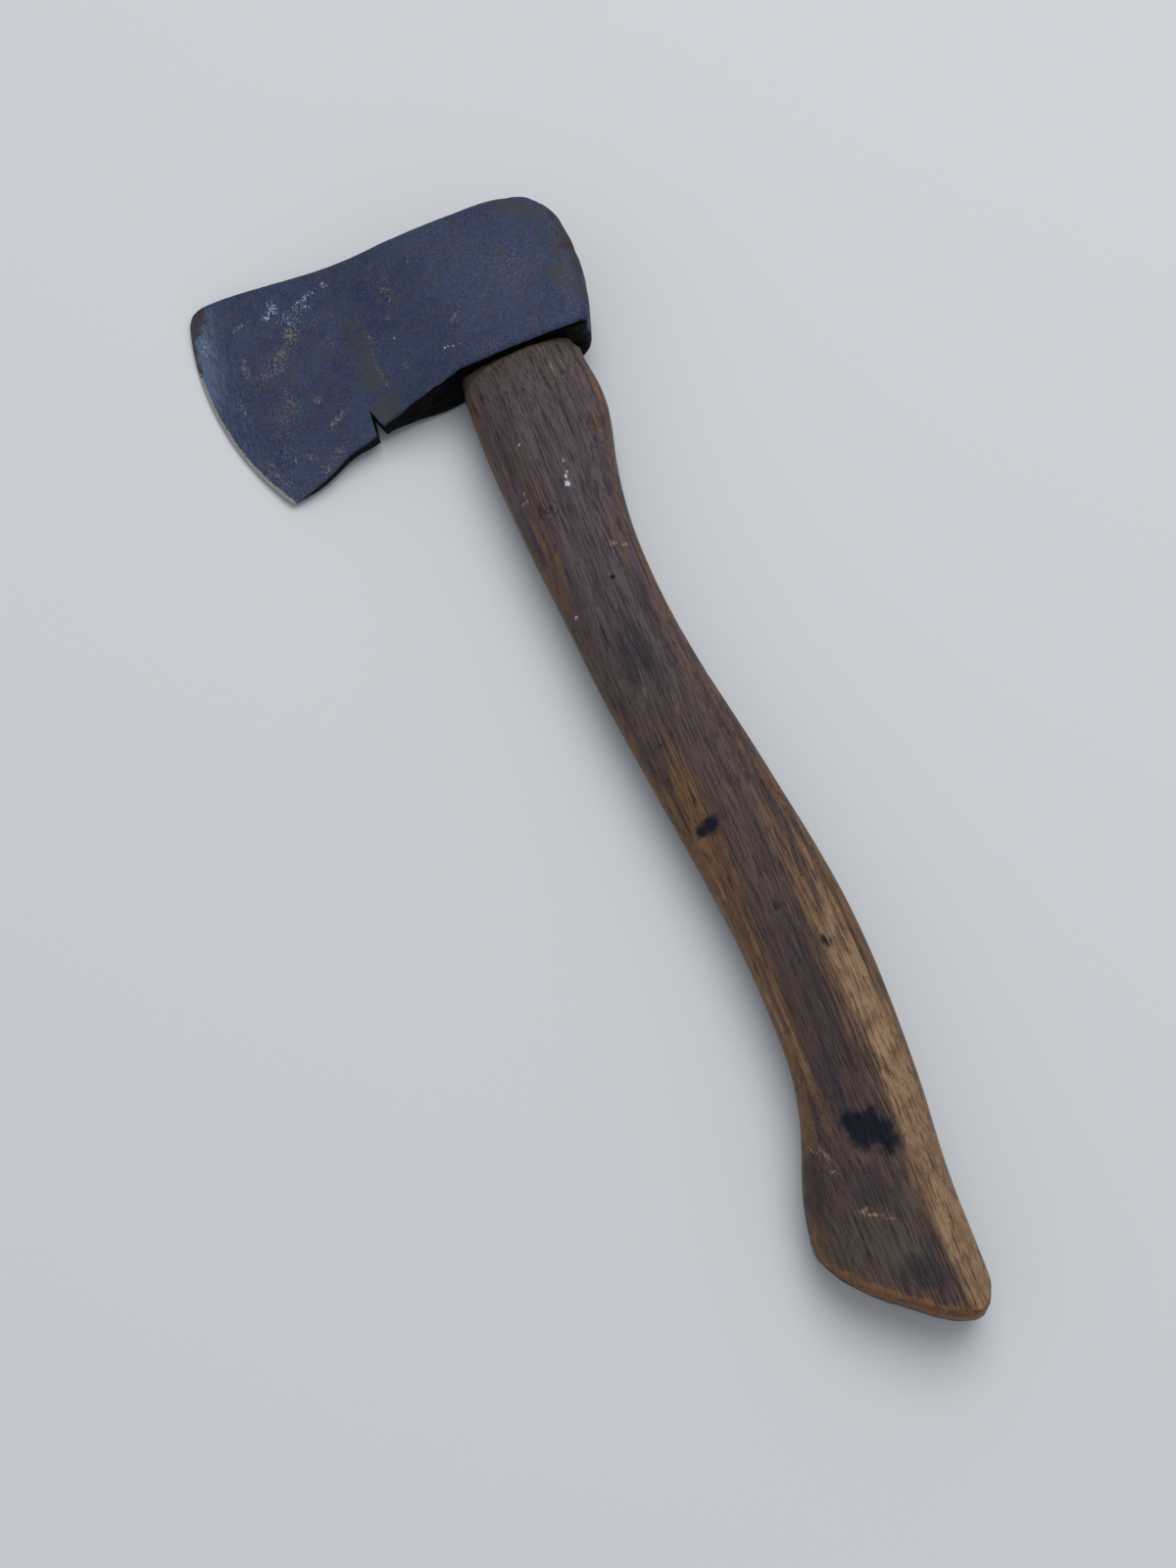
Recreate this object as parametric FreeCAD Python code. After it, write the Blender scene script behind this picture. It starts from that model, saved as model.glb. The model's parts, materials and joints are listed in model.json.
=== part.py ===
import FreeCAD, Part
import math
import os

# A hatchet: a forged head on a curved wooden handle. The handle's tongue fills the eye of the head,
# a wooden wedge spreads it from above, and two barbed steel wedges lock that wedge.
#
# Every piece is drawn in the tool's own frame, in millimetres: X runs from the bit to the poll, Y from the
# butt of the handle to the top of the head, Z across the cheeks. The origin is the middle of the eye, at the
# head's underside. The finished tool is then laid down on the three points that carry it, with +Z up and
# the origin under the middle of its box.

Vec = FreeCAD.Vector

# Head, seen from the side
EYE_TO_BIT = 89.6
EYE_TO_POLL = 29.3
BIT_RADIUS = 85.0
BIT_CENTRE_Y = 31.5
TOE_Y = 58.4
HEEL_Y = -15.4
POLL_TOP = (26.4, 43.4)
POLL_FOOT = (25.2, -0.6)
POLL_CROWN_Y = 17.5
POLL_TOP_RADIUS = 9.0
POLL_FOOT_RADIUS = 3.5
TOE_RADIUS = 4.5
HEEL_RADIUS = 1.2
UNDERSIDE_FRONT = (-18.0, -0.4)
EYE_TOP_Y = 48.0
# The head's top edge, from the toe to the poll
TOP_EDGE = [(-60.0, 54.2), (-34.0, 49.9), (-12.0, 48.5), (8.0, 47.2)]
# The beard's lower edge, from the straight underside to the heel
BEARD = [(-30.0, -2.1), (-37.0, -4.3), (-43.5, -6.8), (-53.0, -7.9), (-63.0, -11.7)]

# Head, seen from the top of the eye: half the thickness from the cheek forward
CHEEK_HALF = 12.0
CHEEK_FRONT_X = -14.0
BLADE = [(-28.0, 8.7), (-42.0, 5.5), (-66.0, 3.1)]
BLADE_END_HALF = 1.3
BEVEL_LENGTH = 9.0
BEVEL_HALF = 2.0
EDGE_HALF = 0.2
BEVEL_END_X = -60.0
RIM_RADIUS = 0.8
RIM_FRONT_X = -86.0

# Eye
EYE_HALF_LENGTH = 17.5
EYE_HALF_WIDTH = 8.0
EYE_FLARE_LENGTH = 0.9
EYE_FLARE_WIDTH = 0.8
EYE_POWER = 2.3
EYE_SPARE = 6.0

# Nail notch in the beard, and the scoop that thins both of its sides
NOTCH_TIP = (-44.1, 1.6)
NOTCH_TIP_WIDTH = 0.3
NOTCH_MOUTH_WIDTH = 2.9
NOTCH_DEPTH = 8.4
NOTCH_LEAN = 4.0
SCOOP_RADIUS = 26.0
SCOOP_DEPTH = 1.9
SCOOP_REACH = 11.0
SCOOP_X = -42.0

# Handle: height, front edge, back edge, half the thickness
HANDLE = [
    (-8.0, -18.5, 19.2, 9.2),
    (-22.0, -19.0, 20.1, 10.5),
    (-38.0, -18.6, 16.7, 10.9),
    (-56.0, -17.7, 13.5, 10.6),
    (-76.0, -16.4, 12.8, 10.3),
    (-102.0, -14.6, 14.6, 10.2),
    (-132.0, -11.6, 19.1, 10.3),
    (-162.0, -8.0, 23.8, 10.5),
    (-190.0, -5.5, 26.8, 10.6),
    (-212.0, -5.0, 27.2, 10.6),
    (-229.0, -5.9, 26.5, 10.6),
    (-244.0, -9.8, 25.5, 10.7),
    (-258.0, -15.1, 24.0, 10.8),
    (-272.0, -18.2, 22.8, 10.8),
    (-286.0, -18.9, 22.4, 10.7),
    (-300.0, -19.2, 22.0, 10.6),
    (-314.0, -19.3, 21.6, 10.5),
]
HANDLE_POWER = 2.5
# The sawn end of the foot, from its heel round to its tip
FOOT_END = [(-24.0, -264.6), (-17.4, -279.6), (-11.3, -287.6), (-2.5, -294.9), (6.5, -301.5), (13.0, -305.2)]
FOOT_END += [(18.0, -305.8), (22.1, -301.9), (26.0, -290.0)]
FOOT_EDGE_RADIUS = 2.6
TONGUE_TOP = 49.5
TONGUE_ROOT = 4.0
SHOULDER = 0.5

# Wedges
KERF_WIDTH = 1.2
KERF_BOTTOM = 9.0
WOOD_WEDGE_TOP = 4.6
WOOD_WEDGE_BOTTOM_Y = 13.0
STEEL_WEDGE_X = (-7.5, 8.0)
STEEL_WEDGE_WIDTH = 12.0
STEEL_WEDGE_TOP = 2.8
STEEL_WEDGE_TIP = 0.5
STEEL_WEDGE_LENGTH = 22.0
BARBS = 4
BARB_DEPTH = 0.25

OVAL_POINTS = 24
REACH = 200.0


def oval(y, front, back, half_width, power):
    """A closed wire across the tool at height y: a superellipse between its front and its back."""
    middle = (front + back) / 2
    half_length = (back - front) / 2
    points = []
    for i in range(OVAL_POINTS):
        angle = 2 * math.pi * i / OVAL_POINTS
        c, s = math.cos(angle), math.sin(angle)
        x = math.copysign(abs(c) ** (2 / power), c)
        z = math.copysign(abs(s) ** (2 / power), s)
        points.append(Vec(middle + half_length * x, y, half_width * z))
    curve = Part.BSplineCurve()
    curve.interpolate(Points=points, PeriodicFlag=True)
    return Part.Wire([curve.toShape()])


def spline(points):
    curve = Part.BSplineCurve()
    curve.interpolate(Points=points)
    return curve.toShape()


def prism(edges, direction):
    """The solid between two copies of a closed outline, one each side of its plane."""
    outline = Part.Wire(Part.__sortEdges__(edges))
    outline.translate(direction * -0.5)
    return Part.Face(outline).extrude(direction)


def polygon(points):
    return [Part.LineSegment(a, b).toShape() for a, b in zip(points, points[1:] + points[:1])]


def upright_edges_near(solid, x, y, within):
    """The straight edges parallel to Z that pass near a corner of the side outline."""
    found = []
    for edge in solid.Edges:
        box, middle = edge.BoundBox, edge.CenterOfMass
        upright = box.XLength < 1e-6 and box.YLength < 1e-6
        if upright and math.hypot(middle.x - x, middle.y - y) < within:
            found.append(edge)
    return found


def bit_x(y):
    """The bit is an arc about a point on the tool's middle plane."""
    centre_x = -EYE_TO_BIT + BIT_RADIUS
    return centre_x - math.sqrt(BIT_RADIUS**2 - (y - BIT_CENTRE_Y) ** 2)


def head_side():
    """The head's side outline, drawn out across its thickness, with its four corners rounded."""
    heel = Vec(bit_x(HEEL_Y), HEEL_Y, 0)
    toe = Vec(bit_x(TOE_Y), TOE_Y, 0)
    foremost = Vec(-EYE_TO_BIT, BIT_CENTRE_Y, 0)
    poll_top = Vec(*POLL_TOP, 0)
    poll_foot = Vec(*POLL_FOOT, 0)
    crown = Vec(EYE_TO_POLL, POLL_CROWN_Y, 0)
    underside_front = Vec(*UNDERSIDE_FRONT, 0)
    top = [toe] + [Vec(x, y, 0) for x, y in TOP_EDGE] + [poll_top]
    beard = [underside_front] + [Vec(x, y, 0) for x, y in BEARD] + [heel]
    edges = [
        Part.Arc(heel, foremost, toe).toShape(),
        spline(top),
        Part.Arc(poll_top, crown, poll_foot).toShape(),
        Part.LineSegment(poll_foot, underside_front).toShape(),
        spline(beard),
    ]
    side = prism(edges, Vec(0, 0, 4 * CHEEK_HALF))
    corners = [
        (poll_top, POLL_TOP_RADIUS),
        (poll_foot, POLL_FOOT_RADIUS),
        (toe, TOE_RADIUS),
        (heel, HEEL_RADIUS),
    ]
    for corner, radius in corners:
        side = side.makeFillet(radius, upright_edges_near(side, corner.x, corner.y, 0.5))
    return side


def head_plan():
    """The head seen from the top: flat, parallel cheeks that run forward into a thin blade."""
    back_x = EYE_TO_POLL + 10
    front_x = -EYE_TO_BIT - 3
    sides = []
    for sign in (1, -1):
        cheek_front = Vec(CHEEK_FRONT_X, 0, sign * CHEEK_HALF)
        through = [cheek_front] + [Vec(x, 0, sign * z) for x, z in BLADE]
        through.append(Vec(front_x, 0, sign * BLADE_END_HALF))
        sides.append(spline(through))
        sides.append(Part.LineSegment(cheek_front, Vec(back_x, 0, sign * CHEEK_HALF)).toShape())
    front = Part.LineSegment(Vec(front_x, 0, BLADE_END_HALF), Vec(front_x, 0, -BLADE_END_HALF)).toShape()
    back = Part.LineSegment(Vec(back_x, 0, CHEEK_HALF), Vec(back_x, 0, -CHEEK_HALF)).toShape()
    return prism(sides + [front, back], Vec(0, REACH, 0))


def bevel_limit():
    """What the two bevels leave of the head: a disc with a ground rim, and everything behind the blade."""
    half_height = EDGE_HALF + (BEVEL_HALF - EDGE_HALF) * BIT_RADIUS / BEVEL_LENGTH
    profile = [
        Vec(0, 0, half_height),
        Vec(BIT_RADIUS, 0, EDGE_HALF),
        Vec(BIT_RADIUS, 0, -EDGE_HALF),
        Vec(0, 0, -half_height),
    ]
    disc = Part.Face(Part.Wire(polygon(profile))).revolve(Vec(0, 0, 0), Vec(0, 0, 1), 360)
    disc.translate(Vec(-EYE_TO_BIT + BIT_RADIUS, BIT_CENTRE_Y, 0))
    behind = Part.makeBox(REACH, REACH, REACH, Vec(BEVEL_END_X, -REACH / 2, -REACH / 2))
    return disc.fuse(behind)


def eye(bottom):
    """The hole for the handle, a little wider at the top so that the wedges can spread the tongue."""
    def section(y):
        share = y / EYE_TOP_Y
        length = EYE_HALF_LENGTH + EYE_FLARE_LENGTH * share
        width = EYE_HALF_WIDTH + EYE_FLARE_WIDTH * share
        return oval(y, -length, length, width, EYE_POWER)

    return Part.makeLoft([section(bottom), section(EYE_TOP_Y / 2), section(TONGUE_TOP + EYE_SPARE)], True)


def nail_notch():
    """A tapered slot that opens downwards, with one upright side."""
    tip_x, tip_y = NOTCH_TIP
    mouth_y = tip_y - NOTCH_DEPTH * 1.3
    mouth_half = (NOTCH_MOUTH_WIDTH * 1.3) / 2
    middle_x = tip_x + math.tan(math.radians(NOTCH_LEAN)) * NOTCH_DEPTH
    points = [
        Vec(tip_x - NOTCH_TIP_WIDTH / 2, tip_y, 0),
        Vec(tip_x + NOTCH_TIP_WIDTH / 2, tip_y, 0),
        Vec(middle_x + mouth_half, mouth_y, 0),
        Vec(middle_x - mouth_half, mouth_y, 0),
    ]
    return prism(polygon(points), Vec(0, 0, 4 * CHEEK_HALF))


def notch_scoops():
    """Two leaning cylinders that hollow the cheeks beside the notch, deepest at the lower edge."""
    lean = math.degrees(math.atan2(SCOOP_DEPTH, SCOOP_REACH))
    edge_y = BEARD[1][1]
    edge_half = BLADE[1][1]
    scoops = []
    for sign in (1, -1):
        tool = Part.makeCylinder(SCOOP_RADIUS, REACH, Vec(0, -REACH / 2, 0), Vec(0, 1, 0))
        tool.rotate(Vec(0, 0, 0), Vec(1, 0, 0), sign * (lean + 4.0))
        tool.translate(Vec(SCOOP_X, edge_y, sign * (edge_half - SCOOP_DEPTH + SCOOP_RADIUS)))
        scoops.append(tool)
    return scoops


def rim_edges(solid):
    """The long edges between the head's two sides and its top, poll and underside, but not the bit's."""
    rim = []
    for edge in solid.Edges:
        box = edge.BoundBox
        upright = box.XLength < 1e-6 and box.YLength < 1e-6
        if not upright and box.XMin > RIM_FRONT_X:
            rim.append(edge)
    return rim


def make_head():
    solid = head_side().common(head_plan())
    solid = solid.makeFillet(RIM_RADIUS, rim_edges(solid))
    solid = solid.common(bevel_limit())
    for scoop in notch_scoops():
        solid = solid.cut(scoop)
    return solid.cut(nail_notch()).cut(eye(-EYE_SPARE))


def make_handle_blank():
    """The handle before its wedges: a tongue that fills the eye and a body that swells below it."""
    length = EYE_HALF_LENGTH + SHOULDER
    sections = [oval(0, -length, length, EYE_HALF_WIDTH + SHOULDER, EYE_POWER)]
    sections += [oval(*station, HANDLE_POWER) for station in HANDLE]
    body = Part.makeLoft(sections, True)
    end = spline([Vec(x, y, 0) for x, y in FOOT_END])
    first, last = FOOT_END[0], FOOT_END[-1]
    corners = [Vec(*first, 0), Vec(-REACH, first[1], 0), Vec(-REACH, REACH, 0), Vec(REACH, REACH, 0)]
    corners += [Vec(REACH, last[1], 0), Vec(*last, 0)]
    sides = [Part.LineSegment(a, b).toShape() for a, b in zip(corners, corners[1:])]
    body = body.common(prism([end] + sides, Vec(0, 0, 4 * CHEEK_HALF)))
    rim = [e for e in body.Edges if e.BoundBox.YMax < FOOT_END[0][1] and e.BoundBox.XLength > 10]
    body = body.makeFillet(FOOT_EDGE_RADIUS, rim)
    top = Part.makeBox(REACH, REACH, REACH, Vec(-REACH / 2, TONGUE_TOP, -REACH / 2))
    return body.fuse(eye(-TONGUE_ROOT).cut(top)).removeSplitter()


def wood_wedge_blank():
    tip = KERF_WIDTH / 2
    head = WOOD_WEDGE_TOP / 2
    points = [
        Vec(0, TONGUE_TOP + 1, head),
        Vec(0, TONGUE_TOP + 1, -head),
        Vec(0, WOOD_WEDGE_BOTTOM_Y, -tip),
        Vec(0, WOOD_WEDGE_BOTTOM_Y, tip),
    ]
    return prism(polygon(points), Vec(4 * EYE_HALF_LENGTH, 0, 0))


def kerf():
    """The saw cut that the wooden wedge opens; it runs a little deeper than the wedge."""
    size = Vec(4 * EYE_HALF_LENGTH, TONGUE_TOP + 1 - KERF_BOTTOM, KERF_WIDTH)
    return Part.makeBox(size.x, size.y, size.z, Vec(-size.x / 2, KERF_BOTTOM, -size.z / 2))


def steel_wedge(x):
    """A tapered slip of steel with barbs along both faces."""
    step = STEEL_WEDGE_LENGTH / (BARBS + 1)
    taper = (STEEL_WEDGE_TOP - STEEL_WEDGE_TIP) / 2 / STEEL_WEDGE_LENGTH
    side = [(STEEL_WEDGE_TOP / 2, 0.0)]
    for i in range(1, BARBS + 1):
        depth = i * step
        half = STEEL_WEDGE_TOP / 2 - taper * depth
        side += [(half, depth - 0.2), (half - BARB_DEPTH, depth + 0.2)]
    side.append((STEEL_WEDGE_TIP / 2, STEEL_WEDGE_LENGTH))
    points = [Vec(x + half, TONGUE_TOP - depth, 0) for half, depth in side]
    points += [Vec(x - half, TONGUE_TOP - depth, 0) for half, depth in reversed(side)]
    return prism(polygon(points), Vec(0, 0, STEEL_WEDGE_WIDTH))


def make_pieces():
    head = make_head()
    blank = make_handle_blank()
    steel = {name: steel_wedge(x) for name, x in zip(("front", "rear"), STEEL_WEDGE_X)}
    wooden_wedge = wood_wedge_blank().common(blank)
    handle = blank.cut(kerf()).cut(wood_wedge_blank()).cut(head)
    for slip in steel.values():
        wooden_wedge = wooden_wedge.cut(slip)
        handle = handle.cut(slip)
    pieces = {"head": head, "handle": handle, "wooden_wedge": wooden_wedge}
    for name, slip in steel.items():
        pieces["steel_wedge_" + name] = slip
    return pieces


def lying_placement(pieces):
    """The placement that lays the tool on its cheek, its bit and its foot, with the origin under its middle."""
    points = [p for shape in pieces.values() for p in shape.tessellate(0.05)[0]]
    supports = [
        [p for p in points if p.y > -30 and p.x > -40],
        [p for p in points if p.y > -30 and p.x < -60],
        [p for p in points if p.y < -230],
    ]
    turn = FreeCAD.Rotation()
    for _ in range(10):
        lowest = [min(group, key=lambda p: turn.multVec(p).z) for group in supports]
        normal = (lowest[1] - lowest[0]).cross(lowest[2] - lowest[0])
        if normal.z < 0:
            normal = normal * -1
        turn = FreeCAD.Rotation(normal, Vec(0, 0, 1))
    turned = [turn.multVec(p) for p in points]
    middle = [(min(axis) + max(axis)) / 2 for axis in zip(*[(p.x, p.y) for p in turned])]
    lowest_z = min(p.z for p in turned)
    return FreeCAD.Placement(Vec(-middle[0], -middle[1], -lowest_z), turn)


def build():
    pieces = make_pieces()
    placement = lying_placement(pieces)
    for shape in pieces.values():
        shape.transformShape(placement.toMatrix(), True)
    return pieces, placement


if __name__ == "__main__":
    finished, laid = build()
    os.makedirs("parts", exist_ok=True)
    for node, shape in finished.items():
        print(f"{node}: {len(shape.Solids)} solid, valid {shape.isValid()}, {shape.Volume / 1000:.2f} cm3")
        shape.exportStep(f"parts/{node}.step")
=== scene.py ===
import json
import math
import bmesh
import bpy
import numpy as np
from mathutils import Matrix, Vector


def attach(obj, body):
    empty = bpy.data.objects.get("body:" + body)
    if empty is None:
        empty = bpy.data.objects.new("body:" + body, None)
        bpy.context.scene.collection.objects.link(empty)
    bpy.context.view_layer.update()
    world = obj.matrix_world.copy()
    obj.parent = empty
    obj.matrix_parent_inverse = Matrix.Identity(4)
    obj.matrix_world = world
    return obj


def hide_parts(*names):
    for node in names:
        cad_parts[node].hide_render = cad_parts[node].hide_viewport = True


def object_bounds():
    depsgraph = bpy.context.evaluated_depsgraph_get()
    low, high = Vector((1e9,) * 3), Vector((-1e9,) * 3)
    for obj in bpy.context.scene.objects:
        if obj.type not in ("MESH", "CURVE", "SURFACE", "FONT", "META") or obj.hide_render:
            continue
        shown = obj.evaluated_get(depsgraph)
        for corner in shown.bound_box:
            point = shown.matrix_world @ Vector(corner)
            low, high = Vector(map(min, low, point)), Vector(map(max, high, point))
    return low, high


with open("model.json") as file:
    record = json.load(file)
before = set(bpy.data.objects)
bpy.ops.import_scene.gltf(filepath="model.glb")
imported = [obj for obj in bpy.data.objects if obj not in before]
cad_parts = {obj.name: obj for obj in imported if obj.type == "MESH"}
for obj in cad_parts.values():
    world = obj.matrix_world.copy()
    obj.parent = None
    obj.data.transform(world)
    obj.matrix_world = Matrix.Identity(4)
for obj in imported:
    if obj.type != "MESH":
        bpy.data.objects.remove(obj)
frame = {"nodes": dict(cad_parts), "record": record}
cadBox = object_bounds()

# A used hatchet lying on its side. Its shapes are worked out in the tool's own frame, in millimetres:
# x runs from the bit back to the poll, y from the foot of the handle up to the head, and z out of the
# upper cheek. The origin is the middle of the eye, level with the head's underside.

mounts = {mount["name"]: mount for mount in frame["record"]["mounts"]}
bladeAt = np.array(mounts["blade"]["pos_m"])
backAxis = -np.array(mounts["blade"]["axis"])
outAxis = np.array(mounts["cheek_upper"]["axis"])
headAxis = np.cross(outAxis, backAxis)
eyeToBit = 89.6
bitMiddleY = 31.5
millimetre = 0.001
toolOrigin = bladeAt + millimetre * (eyeToBit * backAxis - bitMiddleY * headAxis)


def fromTool(points):  # tool millimetres to metres in the frame
    return toolOrigin + millimetre * (points @ np.array([backAxis, headAxis, outAxis]))


def throughPoints(points):
    # natural cubic spline: cubics whose slope and bend agree at every point, with no bend at the two ends
    knots, values = np.array(points, dtype=float).T
    step = np.diff(knots)
    count = len(knots)
    matrix = np.eye(count)
    right = np.zeros(count)
    inner = np.arange(1, count - 1)
    matrix[inner, inner - 1] = step[:-1]
    matrix[inner, inner] = 2 * (step[:-1] + step[1:])
    matrix[inner, inner + 1] = step[1:]
    right[inner] = 6 * np.diff(np.diff(values) / step)
    bend = np.linalg.solve(matrix, right)

    def curve(at):
        at = np.asarray(at, dtype=float)
        i = np.clip(np.searchsorted(knots, at) - 1, 0, count - 2)
        a, b = knots[i + 1] - at, at - knots[i]
        h = step[i]
        straight = (values[i] * a + values[i + 1] * b) / h
        return straight + bend[i] * (a**3 / h - a * h) / 6 + bend[i + 1] * (b**3 / h - b * h) / 6

    return curve


def arcThrough(first, middle, last, count):
    # the circle through three points, swept evenly from the first to the last
    (ax, ay), (bx, by), (cx, cy) = first, middle, last
    matrix = 2 * np.array([[bx - ax, by - ay], [cx - ax, cy - ay]])
    right = np.array([bx**2 + by**2 - ax**2 - ay**2, cx**2 + cy**2 - ax**2 - ay**2])
    centre = np.linalg.solve(matrix, right)
    radius = math.hypot(ax - centre[0], ay - centre[1])
    start = math.atan2(ay - centre[1], ax - centre[0])
    end = math.atan2(cy - centre[1], cx - centre[0])
    turn = (end - start + math.pi) % (2 * math.pi) - math.pi
    angle = start + turn * np.linspace(0, 1, count)
    return centre + radius * np.column_stack([np.cos(angle), np.sin(angle)])


def lengthAlong(line):
    return np.concatenate([[0], np.cumsum(np.linalg.norm(np.diff(line, axis=0), axis=1))])


def pointAlong(line, fraction):
    run = lengthAlong(line)
    return np.stack([np.interp(fraction * run[-1], run, line[:, k]) for k in (0, 1)], axis=-1)


def roundedCorners(sides, reaches):
    # each corner becomes a parabola that leaves both sides at the reach, and each side takes half of it
    trimmed = [side.copy() for side in sides]
    for i, reach in enumerate(reaches):
        j = (i + 1) % len(sides)
        corner = sides[j][0]
        leaving = sides[i][np.argmin(np.abs(lengthAlong(sides[i])[-1] - lengthAlong(sides[i]) - reach))]
        meeting = sides[j][np.argmin(np.abs(lengthAlong(sides[j]) - reach))]
        t = np.linspace(0, 1, 25)[:, None]
        bow = (1 - t) ** 2 * leaving + 2 * t * (1 - t) * corner + t**2 * meeting
        before, after = trimmed[i], trimmed[j]
        keepBefore = lengthAlong(before)[-1] - lengthAlong(before) > reach
        keepAfter = lengthAlong(after) > reach
        trimmed[i] = np.vstack([before[keepBefore], bow[:13]])
        trimmed[j] = np.vstack([bow[12:], after[keepAfter]])
    return trimmed


def distanceTo(line, points):
    # from every point to the nearest spot on a chain of straight pieces
    start, way = line[:-1], np.diff(line, axis=0)
    square = (way**2).sum(axis=1) + 1e-12
    nearest = np.full(len(points), 1e9)
    for part in np.array_split(np.arange(len(points)), 40):
        offset = points[part][:, None] - start
        t = np.clip((offset * way).sum(axis=2) / square, 0, 1)
        gap = offset - t[..., None] * way
        nearest[part] = np.sqrt((gap**2).sum(axis=2).min(axis=1))
    return nearest


def ease(value, low, high):  # 0 below low, 1 above high, and a smooth S between
    t = np.clip((value - low) / (high - low), 0, 1)
    return t * t * (3 - 2 * t)


def rumple(points, seed, count, shortest, longest):
    # a sum of plane waves in random directions, about one high
    rng = np.random.default_rng(seed)
    direction = rng.normal(size=(count, 3))
    direction /= np.linalg.norm(direction, axis=1)[:, None]
    wavelength = shortest * (longest / shortest) ** rng.random(count)
    phase = rng.random(count) * 2 * math.pi
    weight = (wavelength / longest) ** 0.5
    waves = np.cos(points @ (direction * (2 * math.pi / wavelength)[:, None]).T + phase)
    return (waves * weight).sum(axis=1) / (0.7 * weight.sum() ** 0.5 * weight.max() ** 0.5 * 2)


def patches(x, y, spots, firm=1.5):
    # soft round or slanted spots: (x, y, half length, half width, slant in degrees, strength)
    total = np.zeros_like(x)
    for spotX, spotY, length, width, slant, strength in spots:
        c, s = math.cos(math.radians(slant)), math.sin(math.radians(slant))
        along = ((x - spotX) * c + (y - spotY) * s) / length
        across = ((y - spotY) * c - (x - spotX) * s) / width
        total = np.maximum(total, strength * np.exp(-(along**2 + across**2) ** firm))
    return total


def sheetFaces(rows, columns, first, closed):
    i, j = np.meshgrid(np.arange(rows - 1), np.arange(columns if closed else columns - 1), indexing="ij")
    k = (j + 1) % columns
    corners = [i * columns + j, i * columns + k, (i + 1) * columns + k, (i + 1) * columns + j]
    return np.stack(corners, axis=-1).reshape(-1, 4) + first


def weldedPiece(name, sheets, closed=False):
    # sheets are grids of points in tool millimetres; their shared borders are merged into one closed skin
    points = np.vstack([sheet.reshape(-1, 3) for sheet in sheets])
    firsts = np.cumsum([0] + [sheet.shape[0] * sheet.shape[1] for sheet in sheets[:-1]])
    faces = np.vstack([sheetFaces(s.shape[0], s.shape[1], f, closed) for s, f in zip(sheets, firsts)])
    mesh = bpy.data.meshes.new(name)
    mesh.from_pydata(points.tolist(), [], faces.tolist())
    skin = bmesh.new()
    skin.from_mesh(mesh)
    bmesh.ops.remove_doubles(skin, verts=skin.verts, dist=0.002)
    bmesh.ops.dissolve_degenerate(skin, edges=skin.edges, dist=0.002)
    bmesh.ops.recalc_face_normals(skin, faces=skin.faces)
    openEdges = sum(len(edge.link_faces) != 2 for edge in skin.edges)
    skin.to_mesh(mesh)
    skin.free()
    piece = bpy.data.objects.new(name, mesh)
    bpy.context.scene.collection.objects.link(piece)
    print(name, len(mesh.polygons), "faces,", openEdges, "open edges")
    return piece


def readPoints(piece, what="co"):
    values = np.empty(len(piece.data.vertices) * 3)
    piece.data.vertices.foreach_get(what, values)
    return values.reshape(-1, 3).astype(float)


def finishPiece(piece, points, marks, sharpAngle):
    # the marks are numbers kept at each point for the material, and "place" is the point in centimetres
    mesh = piece.data
    place = mesh.attributes.new("place", "FLOAT_VECTOR", "POINT")
    place.data.foreach_set("vector", (points * 0.1).astype(np.float32).ravel())
    for name, values in marks.items():
        mark = mesh.attributes.new(name, "FLOAT", "POINT")
        mark.data.foreach_set("value", np.clip(values, 0, 1).astype(np.float32))
    settled = fromTool(points)
    settled[:, 2] = np.maximum(settled[:, 2], cadBox[0][2])  # nothing reaches through the floor
    mesh.vertices.foreach_set("co", settled.astype(np.float32).ravel())
    mesh.polygons.foreach_set("use_smooth", np.ones(len(mesh.polygons), dtype=bool))
    mesh.set_sharp_from_angle(angle=math.radians(sharpAngle))
    mesh.update()


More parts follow.
